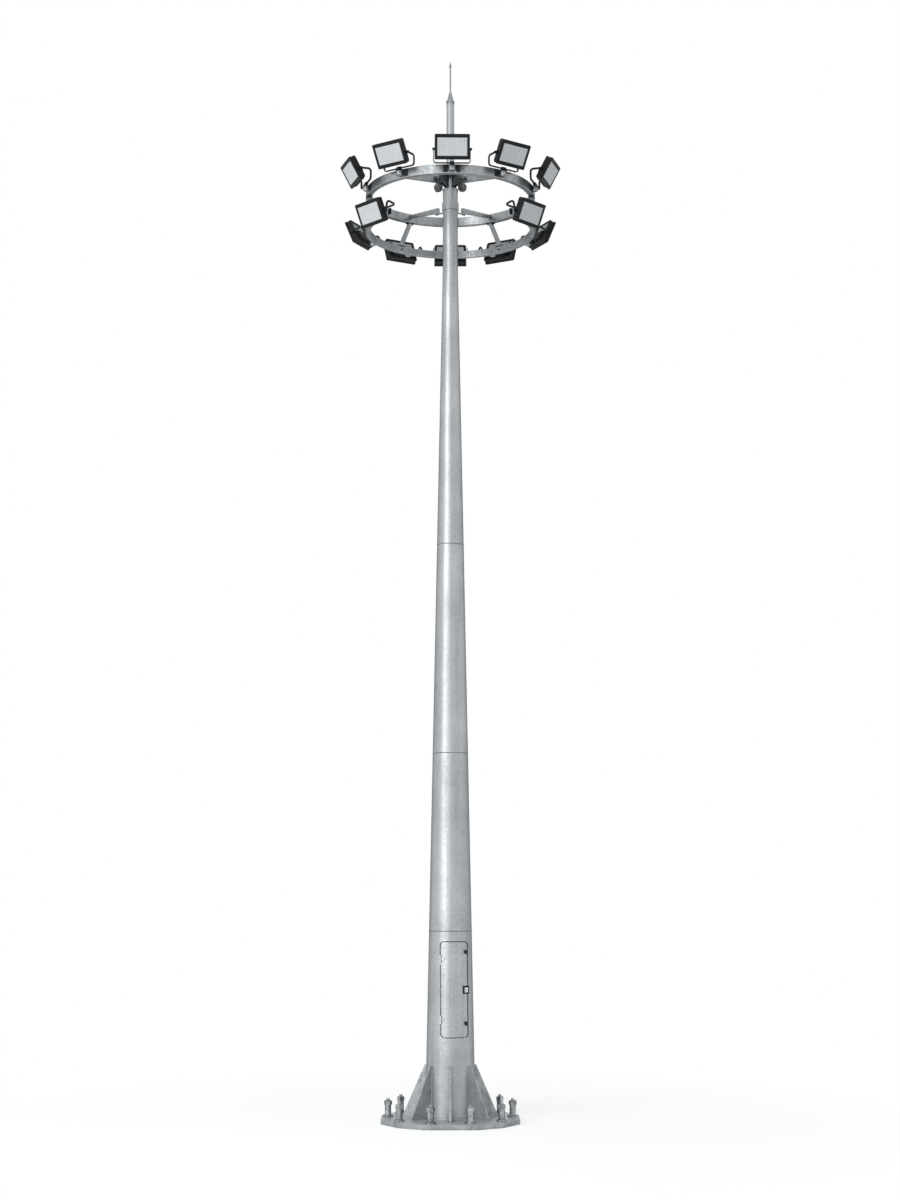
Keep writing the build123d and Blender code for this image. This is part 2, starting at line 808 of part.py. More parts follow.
def cup(azimuth, crossbar_height):
    """The socket on the ring's outer face under a knuckle."""
    with BuildPart() as socket:
        with BuildSketch(Plane.XY.offset(-neck_height - cup_depth)):
            Circle(cup_radius)
        extrude(amount=cup_depth)
        fillet(socket.edges().group_by(Axis.Z)[0], radius=cup_round)
    with BuildPart() as placed:
        with Locations(at(azimuth, knuckle_circle, crossbar_height)):
            add(socket.part)
        add(cylinder_to(ring_radius, 0, tower_height), mode=Mode.SUBTRACT)
    return placed.part


tiers = (
    (upper_lamps, upper_ring_top + crossbar_rise),
    (lower_lamps, lower_ring_top + crossbar_rise),
)
with BuildPart() as lamp_yokes:
    for lamps, crossbar_height in tiers:
        for name, azimuth, tilt, lean in lamps:
            with Locations(at(azimuth, knuckle_circle, crossbar_height, lean)):
                add(yoke.part)
save(lamp_yokes.part, "lamp_yokes")
with BuildPart() as lamp_knuckles:
    for lamps, crossbar_height in tiers:
        for name, azimuth, tilt, lean in lamps:
            elbow_part = knuckle(lean)
            with Locations(at(azimuth, knuckle_circle, crossbar_height)):
                add(elbow_part)
save(lamp_knuckles.part, "lamp_knuckles")
with BuildPart() as lamp_cups:
    for lamps, crossbar_height in tiers:
        for name, azimuth, tilt, lean in lamps:
            add(cup(azimuth, crossbar_height))
save(lamp_cups.part, "lamp_cups")

for lamps, crossbar_height in tiers:
    for name, azimuth, tilt, lean in lamps:
        turn = radians(lean + yoke_turn)
        trunnion_circle = knuckle_circle + yoke_length * sin(turn)
        trunnion_height = crossbar_height + yoke_length * cos(turn)
        print(name, "azimuth", azimuth, "tilt", tilt, "trunnion at radius", round(trunnion_circle, 3),
              "height", round(trunnion_height, 3))
        place = at(azimuth, trunnion_circle, trunnion_height, tilt)
        with BuildPart() as placed_housing:
            with Locations(place):
                add(housing.part)
        save(placed_housing.part, f"{name}_housing")
        with BuildPart() as placed_lens:
            with Locations(place):
                add(lens.part)
        save(placed_lens.part, f"{name}_lens")
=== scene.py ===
import json
import math

import bmesh
import bpy
from mathutils import Matrix, Vector


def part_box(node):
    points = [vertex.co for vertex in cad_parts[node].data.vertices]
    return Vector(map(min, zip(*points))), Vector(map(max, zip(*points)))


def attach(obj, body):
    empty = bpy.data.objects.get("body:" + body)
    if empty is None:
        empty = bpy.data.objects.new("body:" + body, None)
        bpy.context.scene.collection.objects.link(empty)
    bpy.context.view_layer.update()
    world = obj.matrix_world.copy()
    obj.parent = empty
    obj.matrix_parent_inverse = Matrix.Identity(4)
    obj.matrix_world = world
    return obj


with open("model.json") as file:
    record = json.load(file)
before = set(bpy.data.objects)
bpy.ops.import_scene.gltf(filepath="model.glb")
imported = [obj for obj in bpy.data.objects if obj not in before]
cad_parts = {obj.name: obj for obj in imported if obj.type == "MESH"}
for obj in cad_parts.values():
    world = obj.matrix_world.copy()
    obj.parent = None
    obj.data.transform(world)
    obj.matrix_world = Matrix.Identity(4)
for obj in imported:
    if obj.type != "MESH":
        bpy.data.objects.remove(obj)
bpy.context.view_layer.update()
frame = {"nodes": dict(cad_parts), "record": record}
scene = bpy.context.scene


# finishes

noiseSpan = (0.3, 0.7)  # what a noise mostly stays within


def newFinish(name):
    material = bpy.data.materials.new(name)
    material.use_nodes = True
    tree = material.node_tree
    tree.nodes.clear()
    out = tree.nodes.new("ShaderNodeOutputMaterial")
    shader = tree.nodes.new("ShaderNodeBsdfPrincipled")
    tree.links.new(shader.outputs["BSDF"], out.inputs["Surface"])
    return material, tree, shader


def stretchedPlace(tree, stretch=(1, 1, 1)):
    # the piece's own coordinates in metres, stretched along its axes
    coords = tree.nodes.new("ShaderNodeTexCoord")
    mapping = tree.nodes.new("ShaderNodeMapping")
    mapping.inputs["Scale"].default_value = stretch
    tree.links.new(coords.outputs["Object"], mapping.inputs["Vector"])
    return mapping.outputs["Vector"]


def noiseAt(tree, place, scale, detail=4, roughness=0.55):
    noise = tree.nodes.new("ShaderNodeTexNoise")
    noise.inputs["Scale"].default_value = scale
    noise.inputs["Detail"].default_value = detail
    noise.inputs["Roughness"].default_value = roughness
    tree.links.new(place, noise.inputs["Vector"])
    return noise.outputs["Fac"]


def grainsAt(tree, place, scale):
    # crystals: one random value for each cell
    cells = tree.nodes.new("ShaderNodeTexVoronoi")
    cells.inputs["Scale"].default_value = scale
    tree.links.new(place, cells.inputs["Vector"])
    split = tree.nodes.new("ShaderNodeSeparateColor")
    tree.links.new(cells.outputs["Color"], split.inputs["Color"])
    return split.outputs["Red"]


def ranged(tree, value, low, high, start=0.0, end=1.0):
    change = tree.nodes.new("ShaderNodeMapRange")
    change.inputs["From Min"].default_value = start
    change.inputs["From Max"].default_value = end
    change.inputs["To Min"].default_value = low
    change.inputs["To Max"].default_value = high
    tree.links.new(value, change.inputs["Value"])
    return change.outputs["Result"]


def swung(tree, value, share, span=noiseSpan):
    # the same value as a swing to either side of nothing
    return ranged(tree, value, -share, share, *span)


def sumOf(tree, first, second, operation="ADD"):
    total = tree.nodes.new("ShaderNodeMath")
    total.operation = operation
    tree.links.new(first, total.inputs[0])
    tree.links.new(second, total.inputs[1])
    return total.outputs["Value"]


def blended(tree, factor, first, second):
    # two colours, each as three numbers or as another node's socket
    mix = tree.nodes.new("ShaderNodeMix")
    mix.data_type = "RGBA"
    for socket, colour in (("A", first), ("B", second)):
        if isinstance(colour, tuple):
            mix.inputs[socket].default_value = (*colour, 1)
        else:
            tree.links.new(colour, mix.inputs[socket])
    tree.links.new(factor, mix.inputs["Factor"])
    return mix.outputs["Result"]


def crevices(tree, reach, samples=4):
    # how open the surface is, for the painted shade that darkens the corners
    shut = tree.nodes.new("ShaderNodeAmbientOcclusion")
    shut.samples = samples
    shut.inputs["Distance"].default_value = reach
    return shut.outputs["AO"]


def heightOf(tree, vector):
    split = tree.nodes.new("ShaderNodeSeparateXYZ")
    tree.links.new(vector, split.inputs["Vector"])
    return split.outputs["Z"]


def upwardShare(tree):
    # how far the surface looks up, for the painted light that makes upward faces paler
    geometry = tree.nodes.new("ShaderNodeNewGeometry")
    return heightOf(tree, geometry.outputs["Normal"])


def bumped(tree, shader, height, strength, depth):
    bump = tree.nodes.new("ShaderNodeBump")
    bump.inputs["Strength"].default_value = strength
    bump.inputs["Distance"].default_value = depth
    tree.links.new(height, bump.inputs["Height"])
    tree.links.new(bump.outputs["Normal"], shader.inputs["Normal"])


# zinc coat: spangle crystals, cloudy patches, runs down the height, painted shade in the corners, painted
# light on upward faces;
# "corner" is the reach of the painted corner shade in metres, the next number how soon the painted light
# covers what looks up,
# and "weather" how much duller the coat is at the ground
zincLooks = {
    "mastZinc": {
        "dark": (0.32, 0.345, 0.36), "light": (0.54, 0.56, 0.575), "cornerShade": (0.09, 0.095, 0.10),
        "spangle": 42, "cloud": 1.6, "metal": 0.8, "gloss": (0.31, 0.43), "edge": 0.05, "mottle": 0.2,
        "corner": 0.09, "topLight": 0.2, "weather": 0.1,
    },
    "frameZinc": {
        "dark": (0.20, 0.22, 0.235), "light": (0.46, 0.485, 0.50), "cornerShade": (0.05, 0.055, 0.06),
        "spangle": 48, "cloud": 2.0, "metal": 0.78, "gloss": (0.24, 0.38), "edge": 0.2, "mottle": 0.2,
        "corner": 0.09, "topLight": 0.3, "weather": 0,
    },
    "plateZinc": {
        "dark": (0.24, 0.262, 0.275), "light": (0.56, 0.585, 0.60), "cornerShade": (0.04, 0.0435, 0.047),
        "spangle": 46, "cloud": 5.0, "metal": 0.5, "gloss": (0.26, 0.40), "edge": 0.2, "mottle": 0.26,
        "corner": 0.09, "topLight": 0.85, "weather": 0,
    },
    "boltZinc": {
        "dark": (0.12, 0.132, 0.141), "light": (0.58, 0.60, 0.615), "cornerShade": (0.010, 0.011, 0.012),
        "spangle": 110, "cloud": 9.0, "metal": 0.8, "gloss": (0.18, 0.32), "edge": 0.15, "mottle": 0.45,
        "corner": 0.08, "topLight": 0.7, "weather": 0,
    },
    "lipZinc": {
        "dark": (0.52, 0.545, 0.56), "light": (0.80, 0.815, 0.825), "cornerShade": (0.2, 0.21, 0.22),
        "spangle": 60, "cloud": 3.0, "metal": 0.5, "gloss": (0.22, 0.34), "edge": 0.5, "mottle": 0.15,
        "corner": 0.02, "topLight": 0.4, "weather": 0,
    },
    "headSteel": {
        "dark": (0.03, 0.033, 0.036), "light": (0.32, 0.335, 0.345), "cornerShade": (0.008, 0.0088, 0.0095),
        "spangle": 60, "cloud": 14.0, "metal": 0.7, "gloss": (0.3, 0.46), "edge": 0.3, "mottle": 0.6,
        "corner": 0.09, "topLight": 0.1, "weather": 0,
    },
    "darkSteel": {
        "dark": (0.012, 0.013, 0.0145), "light": (0.06, 0.065, 0.07), "cornerShade": (0.004, 0.0044, 0.005),
        "spangle": 140, "cloud": 15.0, "metal": 0.55, "gloss": (0.4, 0.55), "edge": 0.3, "mottle": 0.3,
        "corner": 0.03, "topLight": 0.05, "weather": 0,
    },
}
# what all the zinc coats have in common
zincParts = {
    "cloud": 0.45, "cloudSpan": (0.25, 0.75), "runs": 0.25, "runStretch": (14, 14, 0.5), "runScale": 1.0,
    "fine": 0.2, "fineScale": 260, "fineDetail": 2, "colourSpan": (-0.7, 0.7), "glossSpan": (-0.6, 0.6),
    "cornerShare": (0.35, 1), "cornerSpan": (0.1, 0.7), "topLightColour": (0.80, 0.812, 0.82),
    "topLightSpan": (0.4, 1), "weatherTop": 7, "edgeBlue": 1.05, "bump": (0.25, 0.0008),
}


def zincFinish(name, look):
    material, tree, shader = newFinish(name)
    parts = zincParts
    place = stretchedPlace(tree)
    grains = swung(tree, grainsAt(tree, place, look["spangle"]), look["mottle"], (0, 1))
    cloud = swung(tree, noiseAt(tree, place, look["cloud"]), parts["cloud"], parts["cloudSpan"])
    runPlace = stretchedPlace(tree, parts["runStretch"])
    runs = swung(tree, noiseAt(tree, runPlace, parts["runScale"]), parts["runs"])
    fine = swung(tree, noiseAt(tree, place, parts["fineScale"], parts["fineDetail"]), parts["fine"])
    tone = sumOf(tree, sumOf(tree, grains, cloud), sumOf(tree, runs, fine))
    clean = blended(tree, ranged(tree, tone, 0, 1, *parts["colourSpan"]), look["dark"], look["light"])
    # painted shade: ambient occlusion darkens the colour towards the corner shade colour in corners and
    # crevices
    openness = ranged(tree, crevices(tree, look["corner"]), *parts["cornerShare"], *parts["cornerSpan"])
    cornerShaded = blended(tree, openness, look["cornerShade"], clean)
    # painted light: faces that look up turn paler, as if lit from above
    topLit = ranged(tree, upwardShare(tree), 0, look["topLight"], *parts["topLightSpan"])
    tree.links.new(blended(tree, topLit, cornerShaded, parts["topLightColour"]), shader.inputs["Base Color"])
    low, high = look["gloss"]
    polish = ranged(tree, tone, high, low, *parts["glossSpan"])
    weathered = ranged(tree, heightOf(tree, place), look["weather"], 0, 0, parts["weatherTop"])
    tree.links.new(sumOf(tree, polish, weathered), shader.inputs["Roughness"])
    shader.inputs["Metallic"].default_value = look["metal"]
    edge = look["edge"]
    shader.inputs["Specular Tint"].default_value = (edge, edge, edge * parts["edgeBlue"], 1)
    bumped(tree, shader, sumOf(tree, grains, fine), *parts["bump"])
    return material


# powder coat: near black, orange-peel bump, paler rubbed patches
coatLooks = {
    "housingCoat": {
        "dark": (0.006, 0.0064, 0.007), "light": (0.018, 0.0195, 0.021),
        "peel": 420, "gloss": (0.45, 0.62), "shine": 0.16,
    },
    "bracketCoat": {
        "dark": (0.009, 0.0098, 0.0106), "light": (0.034, 0.036, 0.038),
        "peel": 300, "gloss": (0.4, 0.56), "shine": 0.2,
    },
    "ribCoat": {
        "dark": (0.018, 0.0195, 0.021), "light": (0.085, 0.09, 0.094),
        "peel": 160, "gloss": (0.36, 0.5), "shine": 0.3,
    },
    "blackRubber": {
        "dark": (0.004, 0.0042, 0.0045), "light": (0.01, 0.0106, 0.0112),
        "peel": 700, "gloss": (0.6, 0.75), "shine": 0.1,
    },
}
coatParts = {"peel": 0.3, "peelDetail": 2, "patch": (0.1, 0.9), "patchScale": 6, "bump": (0.35, 0.0006)}


def coatFinish(name, look):
    material, tree, shader = newFinish(name)
    place = stretchedPlace(tree)
    peel = noiseAt(tree, place, look["peel"], coatParts["peelDetail"])
    patch = noiseAt(tree, place, coatParts["patchScale"])
    rubbed = ranged(tree, patch, *coatParts["patch"], *noiseSpan)
    tone = sumOf(tree, swung(tree, peel, coatParts["peel"]), rubbed)
    tree.links.new(blended(tree, tone, look["dark"], look["light"]), shader.inputs["Base Color"])
    tree.links.new(ranged(tree, patch, *look["gloss"], *noiseSpan), shader.inputs["Roughness"])
    shader.inputs["Specular IOR Level"].default_value = look["shine"]
    bumped(tree, shader, peel, *coatParts["bump"])
    return material


# plain finishes: lens sheet, its moulded domes, a floodlight's bare cast back, painted joint shade, bright
# steel
plainLooks = {
    "lensSheet": {
        "dark": (0.52, 0.555, 0.58), "light": (0.66, 0.69, 0.71),
        "grain": 90, "gloss": (0.16, 0.3), "metal": 0.0,
    },
    "lensDomes": {
        "dark": (0.70, 0.72, 0.735), "light": (0.86, 0.87, 0.88),
        "grain": 40, "gloss": (0.06, 0.14), "metal": 0.0,
    },
    "castBack": {
        "dark": (0.50, 0.525, 0.54), "light": (0.68, 0.70, 0.71),
        "grain": 120, "gloss": (0.4, 0.55), "metal": 0.35,
    },
    # dark colour of the painted shade at the mast's joints
    "jointShade": {
        "dark": (0.06, 0.065, 0.07), "light": (0.14, 0.148, 0.155),
        "grain": 60, "gloss": (0.5, 0.7), "metal": 0.0,
    },
    "brightSteel": {
        "dark": (0.50, 0.52, 0.535), "light": (0.74, 0.755, 0.77),
        "grain": 160, "gloss": (0.18, 0.3), "metal": 0.9,
    },
}
plainParts = {"share": (0, 0.5), "grainDetail": 3, "cloudScale": 5, "bump": (0.12, 0.0004)}


def plainFinish(name, look):
    material, tree, shader = newFinish(name)
    place = stretchedPlace(tree)
    grain = noiseAt(tree, place, look["grain"], plainParts["grainDetail"])
    cloud = noiseAt(tree, place, plainParts["cloudScale"])
    tone = sumOf(tree, *(ranged(tree, value, *plainParts["share"], *noiseSpan) for value in (grain, cloud)))
    tree.links.new(blended(tree, tone, look["dark"], look["light"]), shader.inputs["Base Color"])
    tree.links.new(ranged(tree, cloud, *look["gloss"], *noiseSpan), shader.inputs["Roughness"])
    shader.inputs["Metallic"].default_value = look["metal"]
    bumped(tree, shader, grain, *plainParts["bump"])
    return material


finishes = {name: zincFinish(name, look) for name, look in zincLooks.items()}
finishes.update({name: coatFinish(name, look) for name, look in coatLooks.items()})
finishes.update({name: plainFinish(name, look) for name, look in plainLooks.items()})

# each material slot of the record, and the finish that its CAD nodes get
slotFinish = {
    "galvanised_steel": "mastZinc",
    "galvanised_frame": "frameZinc",
    "zinc_bolts": "boltZinc",
    "dark_steel": "headSteel",
    "black_paint": "bracketCoat",
    "black_housing": "housingCoat",
    "lens": "lensSheet",
}
# nodes with a finish of their own
nodeFinish = {
    "base_plate": "plateZinc",
    "gussets": "plateZinc",
    "door_frame": "lipZinc",
    "door_lock": "brightSteel",
}
for subpart in frame["record"]["subparts"]:
    node = frame["nodes"][subpart["node"]]
    node.data.materials.clear()
    finish = nodeFinish.get(subpart["node"], slotFinish[subpart["material_slot"]])
    node.data.materials.append(finishes[finish])
print("finishes on", len(frame["nodes"]), "CAD nodes")


# shaping helpers

flipped = Matrix.Rotation(math.pi, 4, "X")  # own Z turned over
facing = Matrix.Rotation(math.radians(90), 4, "X")  # own Z towards -Y
facingBack = Matrix.Rotation(math.radians(-90), 4, "X")  # own Z towards +Y
sharpAngle = math.radians(32)  # edges that turn by more than this stay crisp


def circleOf(radius, sides):
    # points round the axis, at height 0
    step = 2 * math.pi / sides
    return [Vector((radius * math.cos(i * step), radius * math.sin(i * step), 0)) for i in range(sides)]


def lifted(points, height):
    return [Vector((p.x, p.y, height)) for p in points]


def shifted(place, x=0.0, y=0.0, z=0.0):
    # a place moved along its own axes
    return place @ Matrix.Translation((x, y, z))


def at(x, y, z):
    return Matrix.Translation((x, y, z))


def addLoft(bm, rings, place=Matrix(), looped=False):
    # skins a row of rings that all have the same number of points
    rows = [[bm.verts.new(place @ p) for p in ring] for ring in rings]
    pairs = list(zip(rows, rows[1:])) + ([(rows[-1], rows[0])] if looped else [])
    for lower, upper in pairs:
        for i in range(len(lower)):
            j = (i + 1) % len(lower)
            bm.faces.new((lower[i], lower[j], upper[j], upper[i]))
    if not looped:
        bm.faces.new(list(reversed(rows[0])))
        bm.faces.new(rows[-1])


def addTurned(bm, profile, sides, place=Matrix(), looped=False):
    # a profile of (radius, height) turned about the axis
    addLoft(bm, [lifted(circleOf(r, sides), h) for r, h in profile], place, looped=looped)


def addHex(bm, flats, low, high, ease, place):
    outer = flats / math.sqrt(3)
    small = circleOf(outer - ease, 6)
    full = circleOf(outer, 6)
    addLoft(bm, [lifted(full, low), lifted(full, high - ease), lifted(small, high)], place)


def addBlock(bm, size, ease, place):
    # a block centred on its own origin with eased edges
    x, y, z = (s / 2 for s in size)

    def outline(inset, height):
        a, b = x - inset, y - inset
        c = ease
        return [Vector(p) for p in (
            (a, b - c, height), (a - c, b, height), (c - a, b, height), (-a, b - c, height),
            (-a, c - b, height), (c - a, -b, height), (a - c, -b, height), (a, c - b, height))]

    addLoft(bm, [outline(ease, -z), outline(0, ease - z), outline(0, z - ease), outline(ease, z)], place)


def addTube(bm, path, radius, sides=8):
    # a round bar through the points of a path
    rings = []
    side = None
    for i, point in enumerate(path):
        ahead = path[min(i + 1, len(path) - 1)] - path[max(i - 1, 0)]
        ahead.normalize()
        if side is None:
            side = ahead.orthogonal().normalized()
        side = (side - ahead * side.dot(ahead)).normalized()
        other = ahead.cross(side)
        rings.append([point + side * v.x + other * v.y for v in circleOf(radius, sides)])
    addLoft(bm, rings)


# a bolt's parts as shares of its size
boltShape = {
    "washer": 1.05, "washerEdge": 0.98, "washerSide": 0.16, "washerTop": 0.2, "flats": 1.7, "headTop": 0.95,
    "ease": 0.1, "stud": 0.5, "studTip": 0.4, "studFoot": 0.9,
}
boltSides = {"washer": 20, "stud": 16}


def addBolt(bm, size, place, tail=0.0):
    # washer, hexagon head or nut, and the end of the stud; the axis points outwards
    part = {name: size * share for name, share in boltShape.items()}
    r = part["washer"]
    washer = [(r, 0), (r, part["washerSide"]), (part["washerEdge"], part["washerTop"])]
    addTurned(bm, washer, boltSides["washer"], place)
    addHex(bm, part["flats"], part["washerTop"], part["headTop"], part["ease"], place)
    if tail:
        r, foot = part["stud"], part["studFoot"]
        stud = [(r, foot), (r, foot + tail - part["ease"]), (part["studTip"], foot + tail)]
        addTurned(bm, stud, boltSides["stud"], place)


def meshFrom(name, bm):
    bmesh.ops.recalc_face_normals(bm, faces=bm.faces)
    mesh = bpy.data.meshes.new(name)
    bm.to_mesh(mesh)
    bm.free()
    return mesh


def placePiece(name, mesh, finish, body, place=None):
    if not mesh.materials:
        mesh.polygons.foreach_set("use_smooth", [True] * len(mesh.polygons))
        mesh.set_sharp_from_angle(angle=sharpAngle)
        mesh.materials.append(finishes[finish])
    piece = bpy.data.objects.new(name, mesh)
    scene.collection.objects.link(piece)
    if place:
        piece.matrix_world = place
    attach(piece, body)


def makePiece(name, bm, finish, body):
    placePiece(name, meshFrom(name, bm), finish, body)


def upward(azimuth, radius, height):
    # a place at an azimuth in degrees from the front towards the right; its own Z points up
    return Matrix.Rotation(math.radians(azimuth), 4, "Z") @ Matrix.Translation((0, -radius, height))


def outward(azimuth, radius, height):
    # the same, with its own Z pointing away from the mast
    return upward(azimuth, radius, height) @ facing


def inward(azimuth, radius, height):
    # and with its own Z pointing at the mast
    return upward(azimuth, radius, height) @ facingBack


def reachOf(node):
    # the largest distance of a node from the mast's axis
    low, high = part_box(node)
    return max(high.x, -low.x)


def localBox(node, place, low=-math.inf, high=math.inf):
    # a node's corners as seen from a place, of its points between two heights
    back = place.inverted()
    points = [back @ v.co for v in frame["nodes"][node].data.vertices if low <= v.co.z <= high]
    return [Vector([pick(p[i] for p in points) for i in range(3)]) for pick in (min, max)]


def halves(node):
    # the height spans of a node's lower and upper piece
    low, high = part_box(node)
    middle = (low.z + high.z) / 2
    return (0, middle), (middle, math.inf)


# mast: its radius at a height follows the lowest section and the straight top
footRadius, plateTop = reachOf("mast_base_section"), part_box("mast_base_section")[0].z
sectionTops = [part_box(n)[1].z for n in ("mast_base_section", "mast_lower_section", "mast_middle_section")]
mastTaper = (footRadius - reachOf("mast_lower_section")) / (sectionTops[0] - plateTop)
capLip = 0.003  # how far the head hub stands out from the mast's top
mastTopRadius = reachOf("head_hub") - capLip


def mastRadius(height):
    return max(footRadius - mastTaper * (height - plateTop), mastTopRadius)


# weld beads round the mast's joints, a thin dark band at each joint as painted shade of a groove, and a weld
# round its foot
seam = {
    "bead": 0.003, "beadSides": 8, "shadeBandHeight": 0.007, "shadeBandProud": 0.0012, "shadeBandDepth": 0.002,
    "footBead": 0.011, "footSides": 10, "sides": 96,
}
seamMesh, jointShadeMesh = bmesh.new(), bmesh.new()
bead = circleOf(seam["bead"], seam["beadSides"])
for height in sectionTops:
    r, half = mastRadius(height), seam["shadeBandHeight"] / 2
    proud, inner = r + seam["shadeBandProud"], r - seam["shadeBandDepth"]
    low, high = height - half, height + half
    profile = [(proud, low), (proud, high), (inner, high), (inner, low)]
    # painted shade: a thin dark band in place of the groove at the joint
    addTurned(jointShadeMesh, profile, seam["sides"], looped=True)
    addTurned(seamMesh, [(r + p.x, high + seam["bead"] + p.y) for p in bead], seam["sides"], looped=True)
bead = circleOf(seam["footBead"], seam["footSides"])
addTurned(seamMesh, [(footRadius + p.x, plateTop + p.y) for p in bead], seam["sides"], looped=True)

# fillet welds along both sides of each gusset, up the mast and out over the plate
gusset = {
    "count": 7, "thickness": 0.028, "nose": 0.03, "bead": 0.006, "beadOut": 0.002,
    "upSteps": 8, "outSteps": 6,
}
gussetTop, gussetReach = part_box("gussets")[1].z, -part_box("gussets")[0].y
weldTall, weldLong = gussetTop - plateTop, gussetReach - gusset["nose"] - footRadius
weldHeights = [plateTop + weldTall * k / gusset["upSteps"] for k in range(gusset["upSteps"] + 1)]
weldRadii = [footRadius + weldLong * k / gusset["outSteps"] for k in range(gusset["outSteps"] + 1)]
for i in range(gusset["count"]):
    turn = Matrix.Rotation(2 * math.pi * i / gusset["count"], 4, "Z")
    for side in (-1, 1):
        x = side * (gusset["thickness"] / 2 + gusset["beadOut"])
        up = [turn @ Vector((x, -math.sqrt(mastRadius(h) ** 2 - x * x), h)) for h in weldHeights]
        addTube(seamMesh, up, gusset["bead"])
        addTube(seamMesh, [turn @ Vector((x, -r, plateTop)) for r in weldRadii], gusset["bead"])
makePiece("mast_seam_welds", seamMesh, "mastZinc", "root")
makePiece("mast_joint_shade_band", jointShadeMesh, "jointShade", "root")
print("mast seams")

# ring frame: bolts through the splices, and the struts' pads and bolts
ringFoot, ringTop = (corner.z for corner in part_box("upper_ring_left"))
lowRingFoot, lowRingTop = (corner.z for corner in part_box("lower_ring_left"))
ringRadius = reachOf("upper_ring_left")
splice = {
    # azimuth, foot, top and depth of the bar at each splice
    "spots": ((0, ringFoot, ringTop, 0.09), (180, ringFoot, ringTop, 0.09),
              (180, lowRingFoot, lowRingTop, 0.076)),
    "spread": (-4.6, -1.8, 1.8, 4.6), "margin": 0.036, "bolt": 0.0085, "tail": 0.012,
}
spliceMesh = bmesh.new()
for azimuth, foot, top, depth in splice["spots"]:
    for turn in splice["spread"]:
        for height in (foot + splice["margin"], top - splice["margin"]):
            addBolt(spliceMesh, splice["bolt"], outward(azimuth + turn, ringRadius, height))
            inside = inward(azimuth + turn, ringRadius - depth, height)
            addBolt(spliceMesh, splice["bolt"], inside, splice["tail"])
makePiece("splice_bolts", spliceMesh, "darkSteel", "root")

strut = {
    "heads": (80, 149.6), "feet": (80, 141.5), "inset": 0.033, "pad": (0.118, 0.078, 0.009), "ease": 0.0015,
    "bolt": 0.010, "reach": 0.043, "tail": 0.01, "lowBolt": 0.013, "lowWidth": 0.066,
}
strutPads, strutBolts = bmesh.new(), bmesh.new()
strutCircle, drop = ringRadius - strut["inset"], strut["pad"][2]
lowMiddle = (lowRingFoot + lowRingTop) / 2
for side in (-1, 1):
    for azimuth in strut["heads"]:
        place = upward(side * azimuth, strutCircle, ringFoot - drop / 2)
        addBlock(strutPads, strut["pad"], strut["ease"], place)
        for x in (-strut["reach"], strut["reach"]):
            place = shifted(upward(side * azimuth, strutCircle, ringFoot - drop), x) @ flipped
            addBolt(strutBolts, strut["bolt"], place, strut["tail"])
    for azimuth in strut["feet"]:
        place = upward(side * azimuth, strutCircle, lowRingTop + drop / 2)
        addBlock(strutPads, strut["pad"], strut["ease"], place)
        for x in (-strut["reach"], strut["reach"]):
            place = shifted(upward(side * azimuth, strutCircle, lowRingTop + drop), x)
            addBolt(strutBolts, strut["bolt"], place, strut["tail"])
        inside = inward(side * azimuth, ringRadius - strut["lowWidth"], lowMiddle)
        addBolt(strutBolts, strut["lowBolt"], inside, strut["tail"])
        addBolt(strutBolts, strut["lowBolt"], outward(side * azimuth, ringRadius, lowMiddle), strut["tail"])
makePiece("strut_pads", strutPads, "darkSteel", "root")
makePiece("strut_bolts", strutBolts, "darkSteel", "root")
print("ring frame joints")

# floodlights: each one's own frame has the trunnion at its origin and the lens towards -Y
lamps = {}
for joint in frame["record"]["behaviour"]["joints"]:
    if joint["name"].endswith("_tilt"):
        spot, axis = Vector(joint["pos_m"]), joint["axis"]
        azimuth = math.atan2(axis[1], axis[0])
        tilt = math.radians(-joint["range_deg"][0])
        turn = Matrix.Rotation(azimuth, 4, "Z") @ Matrix.Rotation(tilt, 4, "X")
        lamps[joint["child"]] = {
            "azimuth": math.degrees(azimuth),
            "place": Matrix.Translation(spot) @ turn,
            "upper": spot.z > ringTop,
        }
firstPlace = lamps["lamp_front"]["place"]
lensLow, lensHigh = localBox("lamp_front_lens", firstPlace)
housingLow, housingHigh = localBox("lamp_front_housing", firstPlace)
lensMiddle = (lensLow.z + lensHigh.z) / 2
lensWide, lensTall = lensHigh.x - lensLow.x, lensHigh.z - lensLow.z


def onEveryLamp(name, bm, finish):
    # one shared mesh, placed on all the floodlights
    mesh = meshFrom(name, bm)
    for lamp, data in lamps.items():
        placePiece(f"{lamp}_{name}", mesh, finish, lamp, data["place"])


# moulded lens domes in rows over the sheet; the profile is in shares of radius and height
dome = {
    "columns": 13, "rows": 8, "radius": 0.0085, "height": 0.003, "margin": 0.03, "sides": 10,
    "profile": ((1, 0), (0.78, 0.65), (0.35, 1)),
}
domeMesh = bmesh.new()
domesWide, domesTall = lensWide - 2 * dome["margin"], lensTall - 2 * dome["margin"]
domeProfile = [(dome["radius"] * r, dome["height"] * h) for r, h in dome["profile"]]
for column in range(dome["columns"]):
    for row in range(dome["rows"]):
        x = domesWide * (column / (dome["columns"] - 1) - 0.5)
        z = lensMiddle + domesTall * (row / (dome["rows"] - 1) - 0.5)
        addTurned(domeMesh, domeProfile, dome["sides"], at(x, lensLow.y, z) @ facing)
onEveryLamp("lens_domes", domeMesh, "lensDomes")

# black rubber gasket round the lens, which also stands in as painted shade along the bezel's inner edge
gasket = {"width": 0.008, "proud": 0.0016, "ease": 0.0005}
gasketMesh = bmesh.new()
w, t = gasket["width"], gasket["proud"]
y = lensLow.y - t / 2
for z in (lensLow.z + w / 2, lensHigh.z - w / 2):
    addBlock(gasketMesh, (lensWide, t, w), gasket["ease"], at(0, y, z))
for x in (lensLow.x + w / 2, lensHigh.x - w / 2):
    addBlock(gasketMesh, (w, t, lensTall - 2 * w), gasket["ease"], at(x, y, lensMiddle))
onEveryLamp("lens_gasket_and_shade", gasketMesh, "blackRubber")

